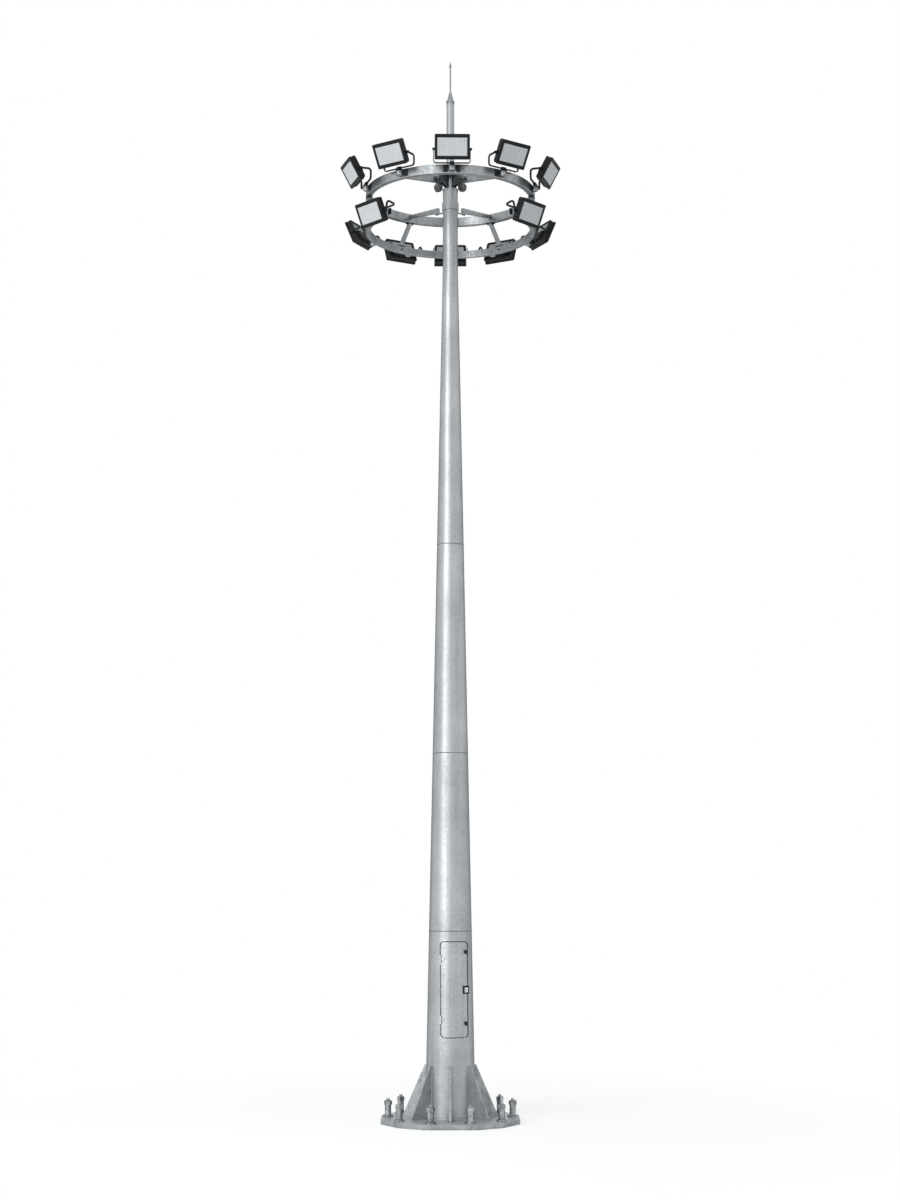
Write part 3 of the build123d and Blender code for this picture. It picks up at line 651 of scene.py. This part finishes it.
# screws of the bezel, at shares of its half width and half height; the profile is in shares of the screw
bezel = {
    "screw": 0.0045, "sideOut": 0.0125, "railOut": 0.01875,
    "columns": (-1, -0.34, 0.34, 1), "rows": (-0.36, 0.36),
    "profile": ((1, 0), (1, 0.25), (0.7, 0.5), (0.3, 0.5), (0.25, 0.2)), "sides": 12,
}
screwMesh = bmesh.new()
halfWide, halfTall = lensHigh.x + bezel["sideOut"], lensHigh.z - lensMiddle + bezel["railOut"]
screwProfile = [(bezel["screw"] * r, bezel["screw"] * h) for r, h in bezel["profile"]]
spots = [(side * halfTall, column * halfWide) for side in (-1, 1) for column in bezel["columns"]]
spots += [(row * halfTall, side * halfWide) for side in (-1, 1) for row in bezel["rows"]]
for z, x in spots:
    addTurned(screwMesh, screwProfile, bezel["sides"], at(x, housingLow.y, lensMiddle + z) @ facing)
onEveryLamp("bezel_screws", screwMesh, "darkSteel")

# cooling ribs over the body behind the bezel, clear of the trunnion bosses
rib = {
    "front": -0.049, "back": 0.022, "deep": 0.0085, "sunk": 0.0005, "thick": 0.0042, "pitch": 0.0185,
    "bodyHalfWidth": 0.229, "bodyHalfTall": 0.160, "bossClear": 0.031, "cornerClear": 0.014, "ease": 0.0006,
}
ribMesh = bmesh.new()
ribMiddle, ribLong = (rib["front"] + rib["back"]) / 2, rib["back"] - rib["front"]
ribOut = rib["deep"] / 2 - rib["sunk"]


def ribSpots(half):
    # evenly spaced places on a side of the body, up to near its corners
    reach = half - rib["cornerClear"]
    count = int(2 * reach / rib["pitch"])
    return [-reach + 2 * reach * i / count for i in range(count + 1)]


for x in ribSpots(rib["bodyHalfWidth"]):
    for side in (-1, 1):
        z = lensMiddle + side * (rib["bodyHalfTall"] + ribOut)
        addBlock(ribMesh, (rib["thick"], ribLong, rib["deep"]), rib["ease"], at(x, ribMiddle, z))
for spot in ribSpots(rib["bodyHalfTall"]):
    z = lensMiddle + spot
    if abs(z) > rib["bossClear"]:
        for side in (-1, 1):
            x = side * (rib["bodyHalfWidth"] + ribOut)
            addBlock(ribMesh, (rib["deep"], ribLong, rib["thick"]), rib["ease"], at(x, ribMiddle, z))
onEveryLamp("cooling_ribs", ribMesh, "ribCoat")

# bare cast panel with fins in the upper half of the back
castPanel = {
    "halfWidth": 0.203, "low": 0.022, "high": 0.167, "floor": 0.0005, "plate": 0.008, "ease": 0.0015,
    "fins": 23, "finThick": 0.0038, "finHigh": 0.0085, "finSunk": 0.0005, "finEase": 0.0008,
    "finSpread": 0.95, "finShare": 0.9,
}
castMesh = bmesh.new()
tall, middle = castPanel["high"] - castPanel["low"], (castPanel["high"] + castPanel["low"]) / 2
castPlate = (2 * castPanel["halfWidth"], castPanel["plate"], tall)
castTop = castPanel["floor"] + castPanel["plate"]
addBlock(castMesh, castPlate, castPanel["ease"], at(0, castPanel["floor"] + castPanel["plate"] / 2, middle))
fin = (castPanel["finThick"], castPanel["finHigh"], tall * castPanel["finShare"])
y = castTop + castPanel["finHigh"] / 2 - castPanel["finSunk"]
for i in range(castPanel["fins"]):
    x = castPanel["halfWidth"] * castPanel["finSpread"] * (2 * i / (castPanel["fins"] - 1) - 1)
    addBlock(castMesh, fin, castPanel["finEase"], at(x, y, middle))
onEveryLamp("cast_back", castMesh, "castBack")

# driver box: lid screws, and two plugged cable glands, whose profile is (share of radius, height)
driver = {
    "screws": ((-0.158, -0.008), (0.158, -0.008), (-0.112, -0.094), (0.112, -0.094)), "screw": 0.0055,
    "glandX": 0.06, "glandY": 0.040, "glandTop": -0.116, "glandRadius": 0.011, "glandFlats": 2.1,
    "glandHex": 0.007, "glandEase": 0.001, "glandSides": 16,
    "glandProfile": ((0.8, 0.006), (0.85, 0.012), (0.6, 0.02), (0.35, 0.021)),
}
driverMesh = bmesh.new()
for x, z in driver["screws"]:
    addBolt(driverMesh, driver["screw"], at(x, housingHigh.y, z) @ facingBack)
r = driver["glandRadius"]
glandProfile = [(r * share, h) for share, h in driver["glandProfile"]]
for side in (-1, 1):
    place = at(side * driver["glandX"], driver["glandY"], driver["glandTop"]) @ flipped
    addHex(driverMesh, r * driver["glandFlats"], 0, driver["glandHex"], driver["glandEase"], place)
    addTurned(driverMesh, glandProfile, driver["glandSides"], place)
onEveryLamp("driver_fittings", driverMesh, "darkSteel")

# trunnion bolts, one through each knob
knob = {"flats": 0.019, "sunk": 0.001, "proud": 0.007, "ease": 0.0008}
knobMesh = bmesh.new()
for side in (-1, 1):
    place = at(housingHigh.x * side, 0, 0) @ Matrix.Rotation(side * math.radians(90), 4, "Y")
    addHex(knobMesh, knob["flats"], -knob["sunk"], knob["proud"], knob["ease"], place)
onEveryLamp("trunnion_bolts", knobMesh, "darkSteel")

# lamp mounts on the rings: a dark band round each cup's mouth, and a clamp plate beside each cup
mount = {
    "offset": 0.041, "neck": 0.032, "cup": 0.046, "band": 0.012, "lip": 0.003, "roof": 0.004, "bandSides": 32,
    "bandShares": (0.7, 1.04, 1.06, 0.99),  # neck hole, edges, rim and bore, as shares of the cup's radius
    "plate": (0.060, 0.098, 0.009), "plateMargin": 0.012, "ease": 0.0015, "sunk": 0.001, "shift": 4.1,
    "bolt": 0.0105, "boltRow": 0.28, "tail": 0.008, "frontSpan": 1,
}
bandMesh, clampMesh, clampBolts = bmesh.new(), bmesh.new(), bmesh.new()
hole, edge, rim, bore = (mount["cup"] * share for share in mount["bandShares"])
lip, roof, band = mount["lip"], mount["roof"], mount["band"]
bandProfile = [
    (hole, 0), (edge, 0), (rim, -lip), (rim, lip - band),
    (edge, -band), (bore, -band), (bore, -roof), (hole, -roof),
]
wide, fullTall, thick = mount["plate"]
for lamp, data in lamps.items():
    azimuth = data["azimuth"]
    foot, top = (ringFoot, ringTop) if data["upper"] else (lowRingFoot, lowRingTop)
    place = upward(azimuth, ringRadius + mount["offset"], top - mount["neck"] + roof)
    addTurned(bandMesh, bandProfile, mount["bandSides"], place, looped=True)
    tall = min(fullTall, top - foot - mount["plateMargin"])
    # the front floodlight has a plate on both sides, the others on the side towards the front
    sides = (-1,) if azimuth > mount["frontSpan"] else (1,) if azimuth < -mount["frontSpan"] else (-1, 1)
    for side in sides:
        place = outward(azimuth + side * mount["shift"], ringRadius, (foot + top) / 2)
        addBlock(clampMesh, (wide, tall, thick), mount["ease"], shifted(place, z=thick / 2 - mount["sunk"]))
        for y in (-tall * mount["boltRow"], tall * mount["boltRow"]):
            addBolt(clampBolts, mount["bolt"], shifted(place, 0, y, thick - mount["sunk"]), mount["tail"])
makePiece("cup_bands", bandMesh, "blackRubber", "root")
makePiece("clamp_plates", clampMesh, "darkSteel", "root")
makePiece("clamp_bolts", clampBolts, "darkSteel", "root")
print("floodlight mounts")

# head: bolts of the plate, the spire's flange and cone, the front arms' cheeks and the rear arms' tongues
plateLow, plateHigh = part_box("head_plate")
spireFoot, coneFoot, tongueFoot = (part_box(n)[0].z for n in ("spire_pipe", "spire_cone", "rear_arms"))
headBolts = {
    "plate": {"count": 8, "radius": 0.165, "size": 0.0125, "tail": 0.02},
    "flange": {"count": 6, "radius": 0.0745, "size": 0.0075, "tail": 0.008, "thick": 0.016},
    "cone": {"azimuths": (62, 118, 242, 298), "size": 0.009, "rise": 0.026, "radius": 0.0545},
    "cheek": {
        "azimuth": 33, "side": 0.032, "radii": (0.335, 0.415), "size": 0.0135, "tail": 0.012,
        "fall": 0.209, "rise": 0.055, "ringInner": 0.080,
    },
    "tongue": {
        "azimuth": 149, "radii": (0.352, 0.398), "size": 0.011, "tail": 0.008,
        "start": 0.33, "slope": 0.190, "thick": 0.014,
    },
}
headMesh = bmesh.new()
b = headBolts["plate"]
for i in range(b["count"]):
    azimuth = 360 * (i + 0.5) / b["count"]
    addBolt(headMesh, b["size"], upward(azimuth, b["radius"], plateHigh.z), b["tail"])
    addBolt(headMesh, b["size"], upward(azimuth, b["radius"], plateLow.z) @ flipped)
b = headBolts["flange"]
for i in range(b["count"]):
    place = upward(360 * i / b["count"], b["radius"], spireFoot + b["thick"])
    addBolt(headMesh, b["size"], place, b["tail"])
b = headBolts["cone"]
for azimuth in b["azimuths"]:
    addBolt(headMesh, b["size"], outward(azimuth, b["radius"], coneFoot + b["rise"]))
b = headBolts["cheek"]
for side in (-1, 1):
    for r in b["radii"]:
        height = ringFoot + b["rise"] + (ringRadius - b["ringInner"] - r) * b["fall"]
        for face in (-1, 1):
            place = shifted(upward(side * b["azimuth"], r, height), face * b["side"])
            addBolt(headMesh, b["size"], place @ Matrix.Rotation(face * math.radians(90), 4, "Y"), b["tail"])
b = headBolts["tongue"]
for side in (-1, 1):
    for r in b["radii"]:
        height = tongueFoot + (r - b["start"]) * b["slope"] - b["thick"]
        addBolt(headMesh, b["size"], upward(side * b["azimuth"], r, height) @ flipped, b["tail"])
makePiece("head_bolts", headMesh, "darkSteel", "root")

# pulley axle nuts, and a shackle under the left bracket
pulley = {
    "nut": 0.011, "tail": 0.008, "shackleOut": 0.018, "eye": 0.021, "eyeDrop": 0.6, "eyeSides": 28,
    "bar": 0.0055, "barSides": 10,
}
pulleyJoints = [j for j in frame["record"]["behaviour"]["joints"] if j["child"].startswith("pulley")]
pulleySpots = [Vector(j["pos_m"]) for j in pulleyJoints]
pulleyMesh, shackleMesh = bmesh.new(), bmesh.new()
bracketLow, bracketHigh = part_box("pulley_brackets")
for spot in pulleySpots:
    for y, turn in ((bracketLow.y, facing), (bracketHigh.y, facingBack)):
        addBolt(pulleyMesh, pulley["nut"], at(spot.x, y, spot.z) @ turn, pulley["tail"])
makePiece("pulley_axle_nuts", pulleyMesh, "boltZinc", "root")
shackleX = min(spot.x for spot in pulleySpots) - pulley["shackleOut"]
centre = Vector((shackleX, 0, bracketLow.z - pulley["eye"] * pulley["eyeDrop"]))
bar = circleOf(pulley["bar"], pulley["barSides"])
loops = []
for p in circleOf(pulley["eye"], pulley["eyeSides"]):
    out = p.normalized()
    loops.append([centre + Vector((p.x + q.x * out.x, q.y, p.y + q.x * out.y)) for q in bar])
addLoft(shackleMesh, loops, looped=True)
makePiece("shackle", shackleMesh, "boltZinc", "root")
print("head fittings")

# door lock: face plate with its barrel and key slot, and a dark plate behind it, wider than the face, as
# painted shadow round the lock
lock = {
    "face": (0.046, 0.05, 0.0024), "faceEase": 0.0008, "barrel": 0.012, "barrelSide": 0.003,
    "barrelTop": 0.0042, "barrelShare": 0.9, "barrelSides": 24, "slot": (0.0026, 0.013, 0.0016),
    "slotEase": 0.0004, "slotOut": 0.0045, "shadowPlate": (0.074, 0.108, 0.008), "backShift": -0.005,
    "keeper": (0.028, 0.108, 0.018), "keeperGap": 0.006, "keeperSunk": 0.004, "plateEase": 0.0012,
}
lockCentre = sum(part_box("door_lock"), Vector()) / 2
lockAngle = math.atan2(lockCentre.x, -lockCentre.y)
lockTurn = Matrix.Rotation(lockAngle, 4, "Z")
lockLow, lockHigh = localBox("door_lock", lockTurn)
lockMiddle = (lockLow + lockHigh) / 2
facePlace = lockTurn @ at(lockMiddle.x, lockLow.y, lockMiddle.z) @ facing
lockMesh, lockShadowMesh, keeperMesh, slotMesh = (bmesh.new() for i in range(4))
t = lock["face"][2]
addBlock(lockMesh, lock["face"], lock["faceEase"], shifted(facePlace, z=t / 2))
r = lock["barrel"]
barrel = [(r, t), (r, t + lock["barrelSide"]), (r * lock["barrelShare"], t + lock["barrelTop"])]
addTurned(lockMesh, barrel, lock["barrelSides"], facePlace)
makePiece("lock_face", lockMesh, "brightSteel", "door")
backDepth = lockHigh.y - lockLow.y - lock["shadowPlate"][2] / 2
addBlock(lockShadowMesh, lock["shadowPlate"], lock["plateEase"], shifted(facePlace, lock["backShift"], 0, -backDepth))
makePiece("lock_shadow_plate", lockShadowMesh, "darkSteel", "door")

# keeper plate on the jamb, beside the lock and clear of it; dark, so it is also painted shadow beside the
# lock
keeperRadius = mastRadius(lockCentre.z)
keeperOut = (lockHigh.x - lockLow.x) / 2 + lock["keeperGap"] + lock["keeper"][0] / 2
keeperPlace = outward(math.degrees(lockAngle + keeperOut / keeperRadius), keeperRadius, lockCentre.z)
keeperPlace = shifted(keeperPlace, z=lock["keeper"][2] / 2 - lock["keeperSunk"])
addBlock(keeperMesh, lock["keeper"], lock["plateEase"], keeperPlace)
makePiece("lock_keeper_and_shadow", keeperMesh, "darkSteel", "root")
addBlock(slotMesh, lock["slot"], lock["slotEase"], shifted(facePlace, z=t + lock["slotOut"]))
makePiece("lock_slot", slotMesh, "blackRubber", "door")

# levers on the two quarter-turn latches; the cap's profile is (share of radius, height)
latch = {
    "lever": (0.017, 0.066, 0.008), "leverTurn": 22, "leverOut": 0.0075, "ease": 0.0015,
    "cap": 0.023, "capProfile": ((1, -0.004), (1, 0.003), (0.85, 0.0045)), "capSides": 24,
}
leverMesh = bmesh.new()
cap = [(latch["cap"] * share, h) for share, h in latch["capProfile"]]
leverTurn = Matrix.Rotation(math.radians(latch["leverTurn"]), 4, "Z")
for low, high in halves("door_latches"):
    centre = sum(localBox("door_latches", Matrix(), low, high), Vector()) / 2
    turn = Matrix.Rotation(math.atan2(centre.x, -centre.y), 4, "Z")
    near, far = localBox("door_latches", turn, low, high)
    place = turn @ at((near.x + far.x) / 2, near.y, (near.z + far.z) / 2) @ facing
    addTurned(leverMesh, cap, latch["capSides"], place)
    addBlock(leverMesh, latch["lever"], latch["ease"], shifted(place @ leverTurn, z=latch["leverOut"]))
makePiece("latch_levers", leverMesh, "darkSteel", "door")

# rubber seal in the gap round the door, left out beside the hinges
seal = {
    "azimuth": 11.8, "halfWidth": 0.184, "corner": 0.042, "out": 0.0062, "bead": 0.0055, "proud": 0.0028,
    "steps": 8, "pitch": 0.02, "hingeClear": 0.05,
}
hingeHeights = []
for low, high in halves("hinge_pins"):
    near, far = localBox("hinge_pins", Matrix(), low, high)
    hingeHeights.append((near.z + far.z) / 2)
doorLow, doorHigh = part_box("access_door")
wide, corner = seal["halfWidth"] + seal["out"], seal["corner"] + seal["out"]
foot, head = doorLow.z - seal["out"], doorHigh.z + seal["out"]
outline = []
for cornerX, cornerZ, start in ((wide - corner, foot + corner, -90), (wide - corner, head - corner, 0),
                                (corner - wide, head - corner, 90), (corner - wide, foot + corner, 180)):
    for k in range(seal["steps"] + 1):
        angle = math.radians(start + 90 * k / seal["steps"])
        outline.append((cornerX + corner * math.cos(angle), cornerZ + corner * math.sin(angle)))
outline.append(outline[0])
sealRuns, run = [], []
for (x0, z0), (x1, z1) in zip(outline, outline[1:]):
    count = max(1, int(math.hypot(x1 - x0, z1 - z0) / seal["pitch"]))
    for k in range(count):
        x, z = x0 + (x1 - x0) * k / count, z0 + (z1 - z0) * k / count
        if x < 0 and min(abs(z - h) for h in hingeHeights) < seal["hingeClear"]:
            if len(run) > 1:
                sealRuns.append(run)
            run = []
        else:
            run.append(Vector((x, -math.sqrt(mastRadius(z) ** 2 - x * x) - seal["proud"], z)))
sealRuns.append(run)
doorTurn = Matrix.Rotation(math.radians(seal["azimuth"]), 4, "Z")
sealRubber = bmesh.new()
for run in sealRuns:
    addTube(sealRubber, [doorTurn @ p for p in run], seal["bead"])
makePiece("door_seal", sealRubber, "blackRubber", "root")
print("door fittings")

# camera and studio
view = {
    "place": (-0.005, -28.6, 3.35), "pitch": 7.533, "lens": 61.84, "sensor": 36, "clipEnd": 500,
    "keyAzimuth": -35, "keyDistance": 14, "keyWide": 8.0, "keyTall": 19, "keyLevel": 2.4,
    "sky": (0.96, 0.98, 1.0), "ambient": 0.5, "floorRadius": 70, "floorSides": 96, "floorNoise": 0.8,
    "floorTones": ((0.86, 0.865, 0.87), (0.9, 0.9, 0.9)), "floorClear": (2.5, 7.0), "shadowShare": 0.6,
    "floorLevel": 0.59,
}
cameraData = bpy.data.cameras.new("camera")
cameraData.lens = view["lens"]
cameraData.sensor_width = view["sensor"]
cameraData.clip_end = view["clipEnd"]
camera = bpy.data.objects.new("camera", cameraData)
camera.location = view["place"]
camera.rotation_euler = (math.radians(90 + view["pitch"]), 0, 0)
scene.collection.objects.link(camera)
bpy.context.scene.camera = camera

keyData = bpy.data.lights.new("keyPanel", "AREA")
keyData.shape = "RECTANGLE"
keyData.size = view["keyWide"]
keyData.size_y = view["keyTall"]
keyData.energy = view["keyLevel"] * math.pi * view["keyWide"] * view["keyTall"]
key = bpy.data.objects.new("keyPanel", keyData)
turn, reach = math.radians(view["keyAzimuth"]), view["keyDistance"]
key.location = (reach * math.sin(turn), -reach * math.cos(turn), view["keyTall"] / 2)
key.rotation_euler = (math.radians(90), 0, turn)
key.visible_camera = False
scene.collection.objects.link(key)


def backdropRays(tree):
    # camera, glossy and transmission rays all meet the white backdrop
    rays = tree.nodes.new("ShaderNodeLightPath")
    both = sumOf(tree, rays.outputs["Is Camera Ray"], rays.outputs["Is Glossy Ray"], "MAXIMUM")
    return sumOf(tree, both, rays.outputs["Is Transmission Ray"], "MAXIMUM")


def eitherShader(tree, factor, first, second):
    # a number or a socket says how much of the second shader shows
    mixed = tree.nodes.new("ShaderNodeMixShader")
    if isinstance(factor, float):
        mixed.inputs[0].default_value = factor
    else:
        tree.links.new(factor, mixed.inputs[0])
    for socket, shader in ((1, first), (2, second)):
        if shader:
            tree.links.new(shader.outputs[0], mixed.inputs[socket])
    return mixed


world = bpy.data.worlds.new("studio")
scene.world = world
world.use_nodes = True
tree = world.node_tree
tree.nodes.clear()
out = tree.nodes.new("ShaderNodeOutputWorld")
soft = tree.nodes.new("ShaderNodeBackground")
soft.inputs["Color"].default_value = (*view["sky"], 1)
soft.inputs["Strength"].default_value = view["ambient"]
white = tree.nodes.new("ShaderNodeBackground")
white.inputs["Color"].default_value = (1, 1, 1, 1)
white.inputs["Strength"].default_value = 1
mixed = eitherShader(tree, backdropRays(tree), soft, white)
tree.links.new(mixed.outputs[0], out.inputs["Surface"])

# floor: pale, with the shadow kept near the tower and the backdrop's white further out
floorMesh = bmesh.new()
floorMesh.faces.new([floorMesh.verts.new(p) for p in circleOf(view["floorRadius"], view["floorSides"])])
floorData = bpy.data.meshes.new("floor")
floorMesh.to_mesh(floorData)
floorMesh.free()
floor = bpy.data.objects.new("floor", floorData)
scene.collection.objects.link(floor)
floorFinish = bpy.data.materials.new("paleFloor")
floorFinish.use_nodes = True
tree = floorFinish.node_tree
tree.nodes.clear()
out = tree.nodes.new("ShaderNodeOutputMaterial")
matte = tree.nodes.new("ShaderNodeBsdfDiffuse")
place = stretchedPlace(tree)
paint = blended(tree, noiseAt(tree, place, view["floorNoise"]), *view["floorTones"])
tree.links.new(paint, matte.inputs["Color"])
# what the backdrop's rays see near the tower: a share of the real shading, lifted to white,
# so that the shadow stays but is faint
shaded = eitherShader(tree, view["shadowShare"], None, matte)
lift = tree.nodes.new("ShaderNodeEmission")
lift.inputs["Strength"].default_value = 1 - view["shadowShare"] * view["floorLevel"]
raised = tree.nodes.new("ShaderNodeAddShader")
tree.links.new(shaded.outputs[0], raised.inputs[0])
tree.links.new(lift.outputs[0], raised.inputs[1])
nearTower = eitherShader(tree, backdropRays(tree), matte, raised)
distance = tree.nodes.new("ShaderNodeVectorMath")
distance.operation = "LENGTH"
tree.links.new(place, distance.inputs[0])
away = ranged(tree, distance.outputs["Value"], 0, 1, *view["floorClear"])
glow = tree.nodes.new("ShaderNodeEmission")
mixed = eitherShader(tree, sumOf(tree, away, backdropRays(tree), "MULTIPLY"), nearTower, glow)
tree.links.new(mixed.outputs[0], out.inputs["Surface"])
floorData.materials.append(floorFinish)
scene.view_settings.view_transform = "Standard"
print("camera, lights and floor")
